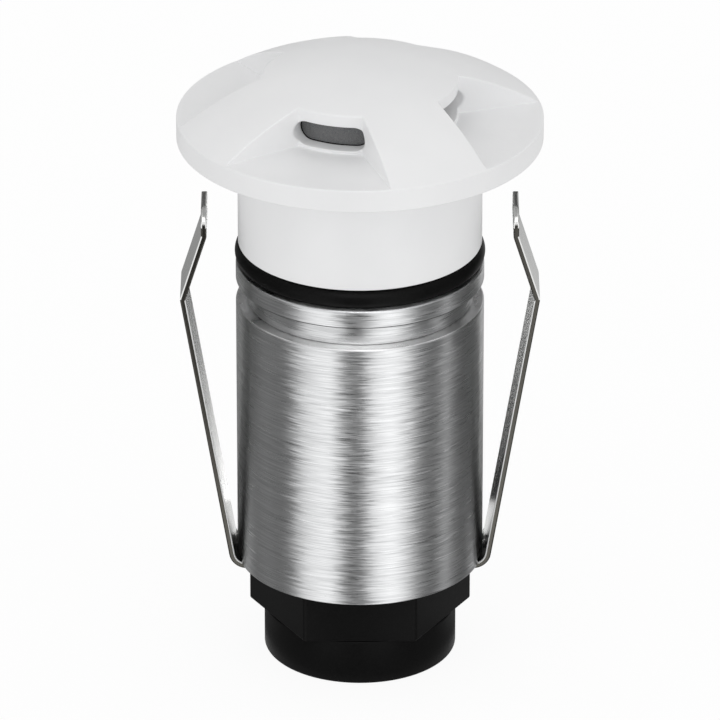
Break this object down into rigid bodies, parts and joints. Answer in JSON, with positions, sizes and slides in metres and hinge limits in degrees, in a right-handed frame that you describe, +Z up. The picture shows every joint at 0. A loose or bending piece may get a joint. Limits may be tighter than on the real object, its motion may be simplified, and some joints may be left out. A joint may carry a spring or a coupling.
{
  "type": "in ground well light",
  "caption": "Round recessed ground light with a domed cap, side windows, steel sleeve, two spring arms and a cable gland below.",
  "frame": {"origin": "centre of the gland nut's lower end face, on the light's axis", "axes": "+Z up along the light's axis, towards the domed cap; the two spring arms stand out along -X and +X; -Y is the side the picture shows"},
  "size_m": [0.0616, 0.0616, 0.1088],
  "materials": {
    "coated_white": "powder coated",
    "seal_rubber": "matt",
    "frosted_cover": "frosted",
    "reflector_metal": "polished",
    "retainer_metal": "turned",
    "body_steel": "brushed round the axis",
    "spring_steel": "rolled",
    "gland_plastic": "fine moulded grain",
    "sink_metal": "turned",
    "heat_pad_grey": "matt",
    "board_white": "satin",
    "diode_yellow": "smooth",
    "screw_steel": "plain",
    "lead_red": "smooth",
    "cup_plastic": "moulded",
    "board_green": "lacquered",
    "coil_copper": "enamelled winding",
    "capacitor_blue": "smooth",
    "chip_black": "moulded"
  },
  "bodies": {
    "housing": {"steel_body": "body_steel", "spring_clip_base": "spring_steel", "gland_body": "gland_plastic", "gland_washer": "seal_rubber", "gland_bush": "seal_rubber", "heat_sink": "sink_metal", "heat_pad": "heat_pad_grey", "lamp_board": "board_white", "lamp_diodes": "diode_yellow", "board_screws": "screw_steel", "lamp_leads": "lead_red", "driver_cup": "cup_plastic", "driver_lid": "cup_plastic", "driver_board": "board_green", "driver_coil": "coil_copper", "driver_capacitor": "capacitor_blue", "driver_chips": "chip_black"},
    "cap": {"cap": "coated_white", "neck_seal": "seal_rubber", "diffuser": "frosted_cover", "diffuser_gasket": "heat_pad_grey", "diffuser_retainer": "retainer_metal", "reflector": "reflector_metal"},
    "gland_nut": {"gland_nut": "gland_plastic"},
    "left_spring": {"left_spring_arm": "spring_steel"},
    "right_spring": {"right_spring_arm": "spring_steel"}
  },
  "joints": [
    {"name": "cap_lift", "type": "slide", "parent": "housing", "child": "cap", "axis": [0, 0, 1], "range_m": [0, 0.04]},
    {"name": "gland_nut_turn", "type": "hinge", "parent": "housing", "child": "gland_nut", "pos_m": [0, 0, 0], "axis": [0, 0, 1], "range_deg": [0, 720]},
    {"name": "left_spring_flex", "type": "hinge", "parent": "housing", "child": "left_spring", "pos_m": [-0.02144, 0, 0.01928], "axis": [0, 1, 0], "range_deg": [0, 4], "stiffness_Nm_per_rad": 5},
    {"name": "right_spring_flex", "type": "hinge", "parent": "housing", "child": "right_spring", "pos_m": [0.02144, 0, 0.01928], "axis": [0, -1, 0], "range_deg": [0, 4], "stiffness_Nm_per_rad": 5}
  ]
}
